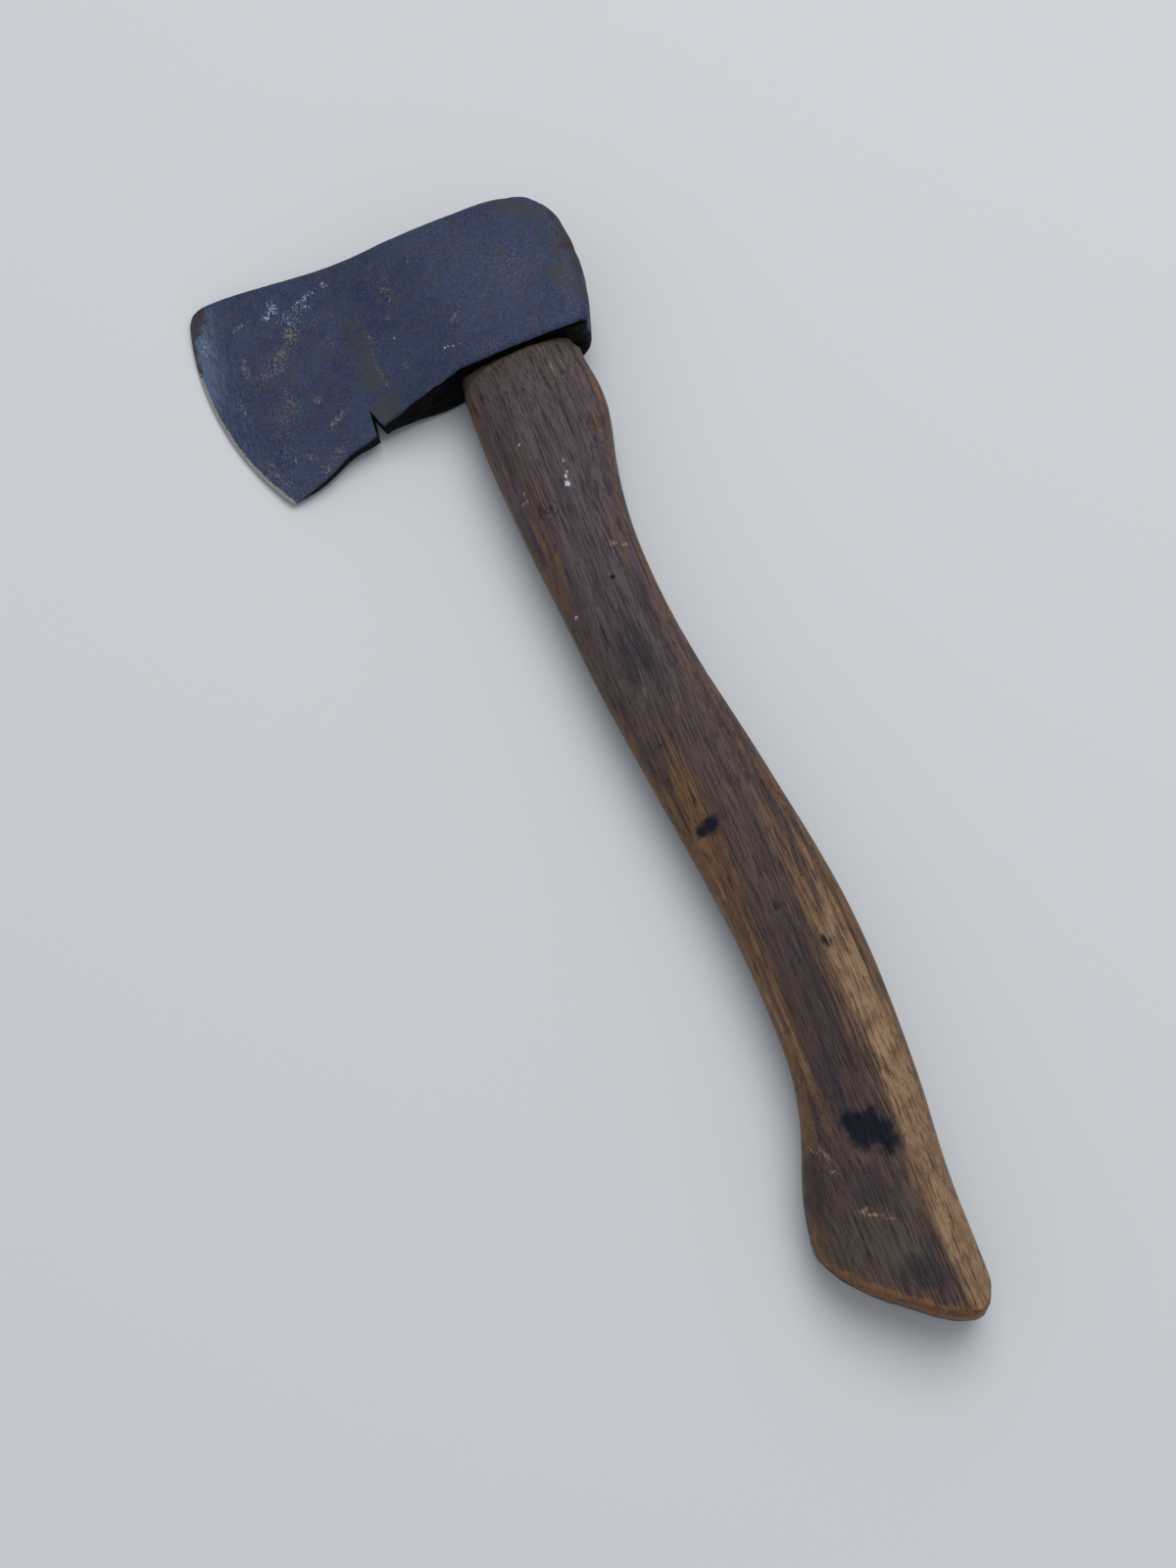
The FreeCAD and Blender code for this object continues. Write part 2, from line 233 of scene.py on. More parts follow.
head = {
    # outline in the tool's x and y, with the bit as an arc about the middle plane
    "bitRadius": 88.0,
    "toeY": 58.0,
    "heelY": -14.7,
    "pollTop": (26.4, 43.4),
    "pollCrown": (29.3, 17.5),
    "pollFoot": (25.2, -0.6),
    "topEdge": [(-60, 54.2), (-34, 49.9), (-12, 48.5), (8, 47.2)],
    "beard": [
        (-63, -11.1), (-53, -7), (-47, -5.8), (-43, -3.7), (-38, -2.9), (-33, -2.2), (-26, -1.7),
        (-18, -0.5)],
    "notch": [(-46.2, -5.6), (-45.7, 0.6), (-45.1, 4.9), (-44.7, 2.4), (-44.1, -1.2), (-43.2, -3.8)],
    "cornerReach": (6.2, 10.5, 4.0, 1.4),  # toe, poll top, poll foot, heel
    "thickness": [(-96, 1.1), (-92.6, 1.3), (-66, 3.1), (-42, 5.5), (-28, 8.7), (-14, 12)],
    "bevelLength": 9.0,
    "bevelHalf": 2.0,
    "edgeHalf": 0.2,
    "eyeHalfLength": 17.5,
    "eyeHalfWidth": 8.0,
    "eyeFlare": (0.9, 0.8),
    "eyeTopY": 48.0,
    "eyePower": 2.3,
    "blockFrontX": -20.0,
    "pollRound": 3.2,
    "pollCrownDrop": 0.9,
    "pollLean": 0.8,
    "footDroop": 1.7,
    "cheekSlope": 0.27,
    "cheekSoftness": 1.3,
    "bevelSoftness": 0.12,
    "beardThinning": 0.42,
    "forgedRoughness": 0.14,
    "creaseX": -38.0,
    "creaseDepth": 0.16,
    "scratchDepth": 0.08,
    "ringCentre": (-3.0, 23.4),
    "ringRadius": 12.5,
    "smallRing": (-30.0, 9.3, 0.9),
    # listed dents: x, y, z, reach, depth
    "dents": [
        (-33.9, -0.8, 7, 1.6, 0.5), (-25, -1.4, 10, 1.2, 0.35), (-15.9, -0.9, 11.5, 1.4, 0.4),
        (-88, 17, 0, 1, 0.3), (-83.5, 3, 0, 0.9, 0.3), (-89.3, 38, 0, 0.8, 0.2),
        (27.5, 30, 8, 2.2, 0.35), (28.6, 12, -3, 2.6, 0.3), (28.8, 22, 4, 1.8, 0.25)],
    # worn and rusty places: x, y, half length, half width, slant in degrees, strength
    "rust": [
        (-59.3, 35.4, 2.6, 3, 0, 1), (-64.2, 31.2, 3.6, 2.4, 20, 0.9),
        (-75.6, 31, 1.4, 4.6, 0, 0.85), (-66.2, 16, 1.5, 4.6, 10, 0.85),
        (-55.8, 3.7, 4.4, 0.9, 26, 1.1), (-58.4, 12, 1.6, 1.4, 0, 0.8),
        (-66.8, -3.4, 3, 0.8, -44, 1), (-58.6, -5.6, 1.6, 1.4, 15, 0.95),
        (-79, -2, 1.8, 3.4, 25, 0.8), (-76, -7, 2, 2, 0, 0.7),
        (-68, 27, 8, 4, 20, 0.55), (-70, 12, 8, 8, 0, 0.42),
        (-50, 27, 4, 3, 0, 0.4), (-52, 36, 6, 3, 0, 0.4),
        (-12, 15, 1.5, 1.2, 0, 0.85), (-10, 17.5, 3, 1.2, 30, 0.5),
        (-28, 35, 2.4, 6, 0, 0.55), (-30, 26, 1.4, 1, 0, 0.7), (14, 38, 0.7, 0.7, 0, 0.8),
        (-62, -8, 12, 3, 30, 0.45), (8, 22, 14, 10, 0, 0.3)],
    "rustBelow": [
        (-70, 40, 9, 6, 30, 0.8), (-55, 8, 11, 5, -20, 0.8),
        (-20, 30, 12, 8, 10, 0.7), (8, 12, 8, 9, 0, 0.6),
        (-78, 12, 5, 12, 20, 0.7)],
    "pale": [
        (-61.3, 46.4, 1.3, 2.8, 10, 1), (-63.4, 44.6, 3.2, 1.6, 30, 0.72),
        (-52, 44.4, 6, 1.1, 20, 0.72), (-44.6, 46, 1.6, 1, 0, 0.85),
        (-53, 42.2, 4, 1.6, 0, 0.55), (-73, 45, 5, 1.2, 10, 0.45),
        (-17.9, 8.1, 0.45, 0.45, 0, 1.2), (-16.8, 7.9, 0.4, 0.4, 0, 1.2), (-15.7, 7.6, 0.4, 0.4, 0, 1.2),
        (-14.6, 7.4, 0.35, 0.35, 0, 1.2), (-13.5, 7.1, 0.35, 0.35, 0, 1.2),
        (-30.5, 18.9, 0.5, 0.5, 0, 1.2), (-27.9, 30.9, 0.5, 0.5, 0, 1.2), (-57.5, 40.5, 6, 4, 0, 0.4),
        (-72, -1, 5, 8, 30, 0.3), (-80.5, 20, 3, 12, 0, 0.3),
        (-85, 44, 3, 7, 0, 0.4), (-36, 20, 1.2, 16, 0, 0.28),
        (8, 26, 18, 14, 0, 0.22)],
    "brown": [
        (-40, 0, 5, 6.5, 0, 1), (-41, 18, 4.2, 18, 0, 0.75),
        (-16, 42, 14, 3, -12, 0.3), (-24, 30, 5, 9, 0, 0.35),
        (-63, 20, 14, 20, 0, 0.3), (22, 15, 4, 5, 0, 0.9),
        (18, 40, 8, 3, -30, 0.8)],
    "scored": [(-17, 38.5, 4.8, 0.28, -30, 1), (-24, 36, 3.5, 0.22, 8, 0.6)],
}


def bitX(y):  # the bit is an arc about a point on the tool's middle plane
    return head["bitRadius"] - eyeToBit - np.sqrt(head["bitRadius"] ** 2 - (y - bitMiddleY) ** 2)


def headSides():
    toeY, heelY = head["toeY"], head["heelY"]
    toe, heel = (float(bitX(toeY)), toeY), (float(bitX(heelY)), heelY)
    y = np.linspace(heelY, toeY, 500)
    bit = np.column_stack([bitX(y), y])
    topX = np.linspace(toe[0], head["pollTop"][0], 600)
    top = np.column_stack([topX, throughPoints([toe] + head["topEdge"] + [head["pollTop"]])(topX)])
    poll = arcThrough(head["pollTop"], head["pollCrown"], head["pollFoot"], 400)
    beardX = np.linspace(head["beard"][-1][0], heel[0], 500)
    beard = np.column_stack([beardX, throughPoints([heel] + head["beard"])(beardX)])
    notch = np.array(head["notch"])[::-1]
    beard = np.vstack([beard[beardX > notch[0, 0]], notch, beard[beardX < notch[-1, 0]]])
    flat = np.linspace(head["pollFoot"], head["beard"][-1], 200)[:-1]
    return roundedCorners([bit, top, poll, np.vstack([flat, beard])], head["cornerReach"])


def eyeWidth(x, halfLength, halfWidth):  # half width of the oval eye at x, and 0 beyond its ends
    power = head["eyePower"]
    inside = np.clip(1 - (np.abs(x) / halfLength) ** power, 0, None)
    return halfWidth * inside ** (1 / power)


def softLess(a, b, softness):  # the lesser of the two, with the corner between them rounded
    return 0.5 * (a + b - np.sqrt((a - b) ** 2 + softness**2))


def cheekHeight(x, y):
    # flat cheeks that run forward into the blade, cut by a bevel that follows the bit
    half = head["thickness"][-1][1]
    ramp = throughPoints(head["thickness"])(np.clip(x, -96, -14))
    ramp = ramp + head["cheekSlope"] * np.clip(x + 14, 0, None)
    swell = softLess(half, ramp, head["cheekSoftness"])
    swell *= 1 - head["beardThinning"] * (1 - ease(y, -10, 12)) * ease(-x, 24, 42)
    inward = head["bitRadius"] - np.hypot(x - (head["bitRadius"] - eyeToBit), y - bitMiddleY)
    rise = (head["bevelHalf"] - head["edgeHalf"]) / head["bevelLength"]
    bevel = head["edgeHalf"] + rise * np.clip(inward, 0, None)
    return softLess(swell, bevel, head["bevelSoftness"]) + 0.004


def rimDrop(xy, height, sides):
    # how far the cheek falls near an edge: a quarter round, larger at the poll, slight on the blade
    bit, top, poll, bottom = sides
    toEdge = np.minimum(distanceTo(top, xy), distanceTo(bottom, xy))
    toPoll = distanceTo(poll, xy)
    x, y = xy.T
    edgeRound = 0.8 + 1.1 * ease(x, -26, -8)
    edgeRound *= 1 - 0.85 * np.exp(-(((x + 44.8) / 4) ** 2) - (y / 8) ** 2)
    edgeRound = np.minimum(edgeRound, 0.7 * height)
    a = np.clip(1 - toEdge / edgeRound, 0, 1)
    b = np.clip(1 - toPoll / head["pollRound"], 0, 1)
    both = a**2 + b**2 + 1e-12
    radius = (edgeRound * a**2 + head["pollRound"] * b**2) / both
    near = np.sqrt(np.minimum(both, 1))
    return radius * (1 - np.sqrt(np.clip(1 - near**2, 0, 1)))


def cheekGrid(sides):
    # a patch stretched between the four sides: each point mixes the sides around it, less their corners
    bit, top, poll, bottom = sides
    poll, bottom = poll[::-1], bottom[::-1]
    block = head["blockFrontX"]
    firstX, lastX = bottom[0, 0], bottom[-1, 0]
    tips = [head["notch"][i][0] for i in (0, 2, 5)]
    blade = [
        firstX + (tips[0] - 1.2 - firstX) * np.linspace(0, 1, 44)[:-1] ** 1.25,
        np.linspace(tips[0] - 1.2, tips[0], 4)[:-1],
        np.linspace(tips[0], tips[1], 11)[:-1],
        np.linspace(tips[1], tips[2], 13)[:-1],
        np.linspace(tips[2], tips[2] + 1.5, 5)[:-1],
        np.linspace(tips[2] + 1.5, block, 28)[:-1],
    ]
    bladeBottom = np.concatenate(blade)
    bladeTop = top[0, 0] + (bladeBottom - firstX) * (block - top[0, 0]) / (block - firstX)
    turn = np.linspace(0, math.pi, 45)
    lastColumns = np.sin(np.linspace(0, math.pi / 2, 19)[1:])
    columns = []
    for bladeX, halfLength, endX in (
        (bladeBottom, head["eyeHalfLength"], lastX),
        (bladeTop, head["eyeHalfLength"] + head["eyeFlare"][0], top[-1, 0]),
    ):
        ahead = np.linspace(block, -halfLength, 4)[:-1]
        columns.append(np.concatenate([
            bladeX, ahead, -halfLength * np.cos(turn), halfLength + (endX - halfLength) * lastColumns]))
    bottomX, topX = columns
    eyeColumns = slice(len(bladeBottom) + 3, len(bladeBottom) + 3 + len(turn))
    below = np.column_stack([bottomX, np.interp(bottomX, bottom[:, 0], bottom[:, 1])])
    above = np.column_stack([topX, np.interp(topX, top[:, 0], top[:, 1])])
    below[0], above[0], below[-1], above[-1] = bottom[0], top[0], bottom[-1], top[-1]
    tall = np.linalg.norm(above - below, axis=1)
    rim = 2.2 * (1 - np.cos(np.linspace(0, math.pi / 2, 9)))[:-1]
    middle = np.linspace(0, 1, 92)
    t = np.vstack([
        rim[:, None] / tall,
        2.2 / tall + middle[:, None] * (1 - 4.4 / tall),
        1 - rim[::-1, None] / tall])
    s = (bottomX - firstX) / (lastX - firstX)
    s3, t3 = s[None, :, None], t[..., None]
    ahead, behind = pointAlong(bit, t), pointAlong(poll, t)
    corners = (1 - s3) * ((1 - t3) * below[0] + t3 * above[0]) + s3 * ((1 - t3) * below[-1] + t3 * above[-1])
    return (1 - t3) * below + t3 * above + (1 - s3) * ahead + s3 * behind - corners, eyeColumns


def headSheets(sides):
    flat, eyeColumns = cheekGrid(sides)
    xy = flat.reshape(-1, 2)
    height = cheekHeight(*xy.T)
    height = (height - rimDrop(xy, height, sides)).reshape(flat.shape[:2])
    upper = np.dstack([flat, height])
    lower = np.dstack([flat, -height])
    lengthFlare, widthFlare = head["eyeFlare"]
    sheets = [upper, lower]
    inner = []
    share = np.array([0, 0.2, 0.4, 0.6, 0.8])[:, None]
    for row, flare in ((0, 0.0), (-1, 1.0)):
        edge = upper[row]
        halfLength = head["eyeHalfLength"] + flare * lengthFlare
        eye = np.zeros(len(edge))
        eyeX = edge[eyeColumns, 0]
        eye[eyeColumns] = eyeWidth(eyeX, halfLength, head["eyeHalfWidth"] + flare * widthFlare)
        stop = np.minimum(eye + 0.7, 0.5 * (eye + edge[:, 2]))
        across = np.vstack([edge[:, 2] + share * (stop - edge[:, 2]), stop, eye + 0.3 * (stop - eye), eye])
        sink = np.zeros_like(across)
        lip = np.clip(eye / 1.5, 0, 1) * (1 if row == 0 else -1)
        sink[-2], sink[-1] = 0.15 * lip, 0.5 * lip
        strip = np.dstack([np.broadcast_to(edge[:, 0], across.shape), edge[:, 1] + sink, across])
        sheets += [strip, strip * (1, 1, -1)]
        inner.append(strip[-1][eyeColumns])
    level = np.linspace(0, 1, 26)[:, None, None]
    wall = inner[0] + level * (inner[1] - inner[0])
    sheets += [wall, wall * (1, 1, -1)]
    for column in (0, -1):
        edge = upper[:, column]
        stop = np.minimum(0.7, 0.5 * edge[:, 2])
        across = np.vstack([edge[:, 2] + share * (stop - edge[:, 2]), stop, 0.3 * stop, 0 * stop])
        band = np.dstack([np.broadcast_to(edge[:, 0], across.shape),
                          np.broadcast_to(edge[:, 1], across.shape), across])
        sheets += [band, band * (1, 1, -1)]
    return sheets


def buildHead():
    sides = headSides()
    piece = weldedPiece("head_forged", headSheets(sides))
    p = readPoints(piece)
    normal = readPoints(piece, "normal")
    x, y, z = p.T
    height = cheekHeight(x, y)
    body = np.clip(height / 6, 0.1, 1)
    move = head["forgedRoughness"] * rumple(p, 5, 26, 9, 40) + 0.035 * rumple(p, 9, 60, 1.8, 5)
    creaseX = head["creaseX"] + 0.5 * np.sin(y * 0.35)
    scored = patches(x, y, head["scored"]) * (z > 0)
    crease = np.exp(-(((x - creaseX) / 0.55) ** 2)) * ease(y, 2, 7) * (1 - ease(y, 28, 34)) * (z > 0)
    second = np.exp(-(((x + 45.0 - 0.12 * (y - 23)) / 0.4) ** 2))
    second *= ease(y, 20, 24) * (1 - ease(y, 32, 36)) * (z > 0)
    move -= head["creaseDepth"] * crease + head["scratchDepth"] * (second + scored)
    rng = np.random.default_rng(21)
    dents = list(head["dents"])
    dents += [(rng.uniform(-70, 25), rng.uniform(2, 42), rng.choice((-1, 1)) * 8, rng.uniform(0.6, 1.6),
               rng.uniform(0.04, 0.14)) for _ in range(60)]
    for dentX, dentY, dentZ, wide, deep in dents:
        sameSide = (z * dentZ >= 0) | (abs(dentZ) < 5)
        away = (x - dentX) ** 2 + (y - dentY) ** 2
        move -= deep * np.exp(-away / wide**2) * sameSide
    p = p + normal * (move * body)[:, None]
    x, y, z = p.T
    lean = ease(x, 8, 29.3)
    low = 1 - ease(y, 2, 15)
    p[:, 0] -= lean * (head["pollCrownDrop"] * (z / 12) ** 2 + head["pollLean"] * (1 + low) * (1 - z / 12))
    p[:, 1] -= head["footDroop"] * ease(-z, -2, 10) * ease(x, 8, 20) * (1 - ease(y, 1, 9))
    upperFace = z > 0
    toBit = head["bitRadius"] - np.hypot(x - (head["bitRadius"] - eyeToBit), y - bitMiddleY)
    rust = 0.7 * patches(x, y, head["rust"], 1.0) * upperFace
    ringX, ringY, ringReach = head["smallRing"]
    tinyRing = np.abs(np.hypot(x - ringX, y - ringY) - ringReach)
    rust = np.maximum(rust, 0.75 * np.exp(-((tinyRing / 0.3) ** 2)) * upperFace)
    rust = np.maximum(rust, 0.72 * patches(x, y, head["rustBelow"], 1.0) * ~upperFace)
    ringX, ringY = head["ringCentre"]
    ringAway = np.abs(np.hypot(x - ringX, (y - ringY) * 1.05) - head["ringRadius"])
    ring = np.exp(-((ringAway / 1.1) ** 2)) * upperFace * ease(np.abs(z), 8, 10)
    pale = 0.85 * patches(x, y, head["pale"], 1.0) * upperFace
    brown = 0.7 * ease(x, 14, 29) * ease(y, -4, 12) + 0.35 * ring
    brown = np.maximum(brown, patches(x, y, head["brown"]) * upperFace)
    brown = np.maximum(brown, 0.5 * rumple(p, 31, 20, 14, 50) * ~upperFace)
    pollFace = ease(x, 26.2, 28.6) * (np.abs(z) < 11.4)
    toe = 1.15 * np.exp(-((x + 85.0) / 5.4) ** 2 - ((y - 54.5) / 6.5) ** 2)
    edgeRust = ease(y, 30, 40) * (1 - ease(toBit, 0.7, 1.9)) * (y < 58)
    pollEdge = 0.6 * ease(x, 23.0, 27.0) * ease(y, 6, 24)
    oldRust = np.maximum(np.maximum(toe, 0.8 * edgeRust), np.maximum(pollEdge, pollFace * 0.85))
    bare = (1 - ease(toBit, 1.0, 15.0)) * (0.35 + 0.65 * ease(y, 12, 40)) * (1 - ease(y, 54, 58))
    worn = (1 - ease(toBit, 0.5, 1.5)) * (1 - 0.75 * ease(y, 30, 42))
    # painted shade: the band round the head's underside, facing the handle and the floor, is marked to turn
    # almost black and lose its gloss, standing for the shadow beneath the head
    underRim = np.abs(z) < np.abs(height) - 0.6
    creaseTint = np.clip(0.9 * crease + 0.6 * second + 0.9 * scored, 0, 1)
    grimeAndPaintedShade = np.clip(ease(-y, -1.2, 0.2) * underRim * ease(x, -80, -70), 0, 1)
    rust = np.maximum(rust, 0.55 * creaseTint)
    brown = np.maximum(brown, 0.6 * creaseTint)
    finishPiece(piece, p, {
        "rust": rust, "pale": pale, "brown": brown, "oldRust": oldRust, "bare": bare, "worn": worn,
        "grimeAndPaintedShade": grimeAndPaintedShade}, 40)
    return piece


handle = {
    # distance below the eye, then the front, the back and the half thickness there
    "stations": [
        (8, -18.5, 19.2, 9.2), (22, -19, 20.1, 10.5), (38, -18.6, 16.7, 10.9), (56, -17.7, 13.5, 10.6),
        (76, -16.4, 12.8, 10.3), (102, -14.6, 14.6, 10.2), (132, -11.6, 19.1, 10.3), (162, -8, 23.8, 10.5),
        (190, -5.5, 26.8, 10.6), (212, -5, 27.2, 10.6), (229, -5.9, 26.5, 10.6), (244, -9.8, 25.5, 10.7),
        (258, -15.1, 24, 10.8), (272, -18.2, 22.8, 10.8), (286, -18.9, 22.4, 10.7), (300, -19.2, 22, 10.6),
        (314, -19.3, 21.6, 10.5)],
    "power": 2.5,
    "footEnd": [
        (-24, -264.5), (-17.4, -279.2), (-11.3, -287.3), (-2.5, -294.6), (6.5, -301.2), (13, -304.5),
        (17.2, -305.1), (20.4, -303.1), (22.6, -298.6), (25, -291)],
    "footRound": 1.7,
    "around": 132,
    "tongueTop": 49.2,
    "tongueGap": 0.15,
    "shaftTop": -8,
    "shaftEnd": -250,
    "shaftRings": 260,
    # listed dents: x, y, half width, half height, depth
    "dents": [(5.1, -68.5, 1.6, 1.1, 0.3), (-7.9, -51.8, 1.5, 1.5, 0.12), (-3.1, -269.2, 0.9, 1.6, 0.12)],
    # worn and stained places, partly painted light: the back-edge tan patches are also a painted sheen, and
    # the grime band just below the head is also painted shade: x, y, half length, half width, slant in
    # degrees, strength
    "goldenWearAndHighlight": [
        (-5, -172, 44, 5.5, 85, 1), (20, -236, 75, 7.6, 91, 0.95),
        (19, -282, 30, 8, 90, 1), (-4, -222, 22, 3.5, 96, 0.8),
        (-9, -244, 14, 4, 70, 0.7), (18, -186, 26, 4.2, 86, 0.7),
        (-12.5, -62, 34, 3.2, 86, 0.5), (10, -66, 16, 5, 90, 0.35),
        (-9, -118, 16, 2.6, 86, 0.4), (12, -110, 14, 3.2, 86, 0.35),
        (-2.5, -204, 30, 3.4, 91, 0.9), (-12, -262, 14, 3.5, 70, 0.4)],
    # lighter tan: the patches along the back edge (x about 20) are partly lighter worn wood, partly a
    # painted sheen on that side
    "tan": [
        (20.2, -240, 60, 6, 90, 0.95), (19.5, -284, 30, 6.5, 90, 1),
        (20, -200, 26, 4.4, 88, 0.7), (21.5, -218, 24, 3.6, 90, 1.2),
        (22, -180, 30, 4, 86, 0.4), (-5, -172, 34, 2.4, 84, 0.4),
        (-2.5, -208, 30, 2.6, 91, 0.6)],
    "stain": [
        (-0.8, -156.6, 4.2, 2.9, 10, 1), (1.6, -155.4, 2.2, 1.8, 30, 0.7),
        (7, -250, 5.8, 6.8, -12, 1), (11, -252.5, 4, 6, 15, 0.9),
        (3.6, -246.4, 3.6, 2.6, 30, 0.8), (9, -257, 4.8, 2.2, -15, 0.7),
        (-4.8, -130.7, 3, 2.2, 0, 0.42), (16.3, -150.5, 2.4, 2, 0, 0.4),
        (8.9, -185, 2.6, 1.8, 0, 0.4), (16.5, -199.1, 2.6, 2, 0, 0.42),
        (-12.4, -31, 3.5, 2, 0, 0.25), (1.8, -78.1, 0.9, 0.9, 0, 1),
        (14.4, -37.5, 1.2, 1.6, 0, 0.5), (16.6, -198.6, 0.9, 2.4, 0, 0.95),
        (15.6, -201.5, 0.8, 1.4, 0, 0.6)],
    "dark": [
        (-1, -102, 13, 7, 85, 0.85), (3, -118, 22, 5, 84, 0.5),
        (3.5, -34, 3, 5, 0, 0.5), (4, -95, 40, 5, 88, 0.35),
        (8, -290.5, 10, 5, -35, 1), (11.5, -284, 9, 3, 80, 0.8),
        (-13, -258, 14, 6, 78, 0.9), (1, -264, 11, 7, -30, 0.75),
        (4, -236, 16, 6, 88, 0.7), (3, -226, 10, 4, 88, 0.5),
        (8, -214, 40, 5, 89, 0.72), (2, -60, 26, 6, 88, 0.25),
        (8, -158, 30, 4, 84, 0.3)],
    # grime at the foot; the band at (0, -6) just below the head is partly painted shade where the handle
    # meets the head
    "grimeAndPaintedShade": [
        (-4.5, -276, 14, 9, -32, 1), (2, -284, 10, 7, -35, 0.9),
        (8, -270, 7, 9, 0, 0.4), (0, -6, 22, 4.5, 0, 0.75),
        (9, -66, 7, 12, 0, 0.35), (14.5, -30, 4, 16, 0, 0.4)],
    "red": [
        (10.5, -225, 34, 2.6, 87, 0.8), (1, -150, 60, 6, 84, 0.35),
        (-3, -80, 40, 6, 86, 0.3)],
    "scratches": [
        (0.8, -271.8, 5.2, 0.6, -32, 1), (-1.6, -269.4, 1.4, 0.8, 20, 1),
        (-5.6, -251.9, 3.6, 0.5, -68, 1), (-8.4, -249.6, 2.8, 0.45, -60, 0.8),
        (-18.2, -268.7, 2, 0.6, -60, 0.9), (5.6, -68.4, 1.5, 0.8, -10, 1),
        (7.8, -69.3, 2, 0.5, -12, 0.9), (-5.2, -257, 1.8, 0.5, -40, 0.8),
        (-13.2, -46.2, 2, 0.5, 10, 0.8), (-12.6, -44, 1.6, 0.5, 50, 0.7),
        (9, -9, 3.4, 0.45, 88, 0.8), (12, -10.5, 3, 0.4, 88, 0.7),
        (3.4, -262, 2, 0.5, -30, 0.6), (-2.2, -112, 7, 0.8, 84, 0.6),
        (4.2, -121, 10, 0.9, 84, 0.65), (6, -8, 2.6, 0.4, 88, 0.6),
        (-14, -216, 1.6, 0.5, 5, 0.8), (2, -92, 4, 0.6, 84, 0.5)],
    "paint": [
        (1.3, -39.2, 0.55, 0.7, 0, 1), (0.6, -44.4, 1.6, 0.7, 80, 1), (0.2, -46.8, 1.4, 0.8, 95, 1),
        (0.9, -47.6, 0.6, 0.5, 0, 1), (-12.2, -84.9, 0.9, 0.5, 120, 1),
        (-8.6, -29.4, 0.4, 0.4, 0, 0.9), (5.6, -36, 0.4, 0.4, 0, 0.8), (6.4, -41.2, 0.4, 0.35, 0, 0.8)],
    "blue": [(2.3, -34.6, 1.6, 2.6, 0, 0.9), (3, -52, 0.8, 3, 0, 0.35)],
}
handleFront = throughPoints([(s[0], s[1]) for s in handle["stations"]])
handleBack = throughPoints([(s[0], s[2]) for s in handle["stations"]])
handleHalf = throughPoints([(s[0], s[3]) for s in handle["stations"]])


def signedPower(value, power):
    return np.sign(value) * np.abs(value) ** power


def handleRing(y, cosine, sine, inset=0.0):
    # a superellipse between the front and the back of the handle at y, drawn in by the inset
    below = np.clip(-y, 8, 314)
    front, back, half = handleFront(below), handleBack(below), handleHalf(below)
    length = (back - front) / 2
    power = 2 / handle["power"]
    across = signedPower(cosine, power)
    rise = signedPower(sine, power)
    x = (front + back) / 2 + (length - inset) * across
    return np.stack([x, y + 0 * x, (half - inset) * rise], axis=-1)


